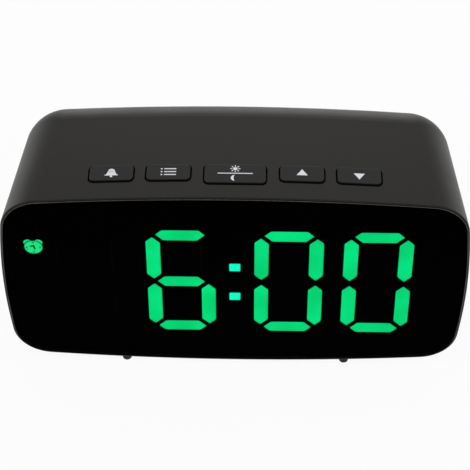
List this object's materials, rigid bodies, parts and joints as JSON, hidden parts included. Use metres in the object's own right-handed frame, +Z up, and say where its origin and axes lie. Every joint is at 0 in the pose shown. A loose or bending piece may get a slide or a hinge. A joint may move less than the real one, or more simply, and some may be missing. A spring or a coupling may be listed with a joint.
{
  "type": "digital led desk clock",
  "caption": "Cushion-shaped desk clock with a dark front window, large seven-bar LED digits, top buttons and a battery door behind.",
  "frame": {"origin": "on the table, under the middle of the clock's bounding box", "axes": "+X to the right across the face, -Y is where the face looks, +Z up"},
  "size_m": [0.1478, 0.0514, 0.0772],
  "materials": {
    "case_plastic": "satin moulded ABS",
    "key_plastic": "satin moulded ABS",
    "smoked_window": "smoked glossy sheet",
    "black_film": "printed black",
    "lit_guide": "lit from behind",
    "unlit_guide": "dark, tinted",
    "white_plastic": "moulded",
    "board": "solder mask",
    "led_lens": "clear resin",
    "black_component": "moulded epoxy",
    "plunger_plastic": "moulded",
    "steel": "nickel plated",
    "screw_steel": "black zinc",
    "ribbon_film": "flat cable",
    "cell_jacket": "printed jacket",
    "red_wire": "insulated wire",
    "black_wire": "insulated wire",
    "foot_rubber": "moulded rubber"
  },
  "bodies": {
    "case": {"housing_shell": "case_plastic", "rear_cover": "case_plastic", "front_window": "smoked_window", "segment_film": "black_film", "digit_2_guides": "lit_guide", "digit_3_guides": "lit_guide", "digit_4_guides": "lit_guide", "colon_guides": "lit_guide", "alarm_symbol_guide": "lit_guide", "unlit_guides": "unlit_guide", "light_box": "white_plastic", "ribbon_socket": "white_plastic", "display_board": "board", "button_board": "board", "power_board": "board", "led_chips": "led_lens", "clock_chip": "black_component", "led_driver_chip": "black_component", "smoothing_capacitor": "black_component", "board_resistors": "black_component", "buzzer": "black_component", "tact_switches": "black_component", "timing_crystal": "steel", "power_socket": "steel", "cell_contacts": "steel", "cell_springs": "steel", "display_board_screws": "screw_steel", "button_board_screws": "screw_steel", "cover_screws": "screw_steel", "power_board_screws": "screw_steel", "button_ribbon": "ribbon_film", "cell_1": "cell_jacket", "cell_2": "cell_jacket", "cell_3": "cell_jacket", "battery_positive_lead": "red_wire", "supply_positive_lead": "red_wire", "battery_negative_lead": "black_wire", "supply_negative_lead": "black_wire", "front_left_foot": "foot_rubber", "front_right_foot": "foot_rubber", "rear_left_foot": "foot_rubber", "rear_right_foot": "foot_rubber"},
    "alarm_key": {"alarm_button": "key_plastic", "alarm_plunger": "plunger_plastic"},
    "mode_key": {"mode_button": "key_plastic", "mode_plunger": "plunger_plastic"},
    "snooze_key": {"snooze_button": "key_plastic", "snooze_plunger": "plunger_plastic"},
    "up_key": {"up_button": "key_plastic", "up_plunger": "plunger_plastic"},
    "down_key": {"down_button": "key_plastic", "down_plunger": "plunger_plastic"},
    "door": {"battery_door": "case_plastic"}
  },
  "joints": [
    {"name": "alarm_press", "type": "slide", "parent": "case", "child": "alarm_key", "axis": [0, 0, -1], "range_m": [0, 0.0005], "stiffness_N_per_m": 1000, "springref_m": -0.001},
    {"name": "mode_press", "type": "slide", "parent": "case", "child": "mode_key", "axis": [0, 0, -1], "range_m": [0, 0.0005], "stiffness_N_per_m": 1000, "springref_m": -0.001},
    {"name": "snooze_press", "type": "slide", "parent": "case", "child": "snooze_key", "axis": [0, 0, -1], "range_m": [0, 0.0005], "stiffness_N_per_m": 1000, "springref_m": -0.001},
    {"name": "up_press", "type": "slide", "parent": "case", "child": "up_key", "axis": [0, 0, -1], "range_m": [0, 0.0005], "stiffness_N_per_m": 1000, "springref_m": -0.001},
    {"name": "down_press", "type": "slide", "parent": "case", "child": "down_key", "axis": [0, 0, -1], "range_m": [0, 0.0005], "stiffness_N_per_m": 1000, "springref_m": -0.001},
    {"name": "battery_door_hinge", "type": "hinge", "parent": "case", "child": "door", "pos_m": [-0.0169, 0.02465, 0.05602], "axis": [1, 0, 0], "range_deg": [0, 90]}
  ]
}
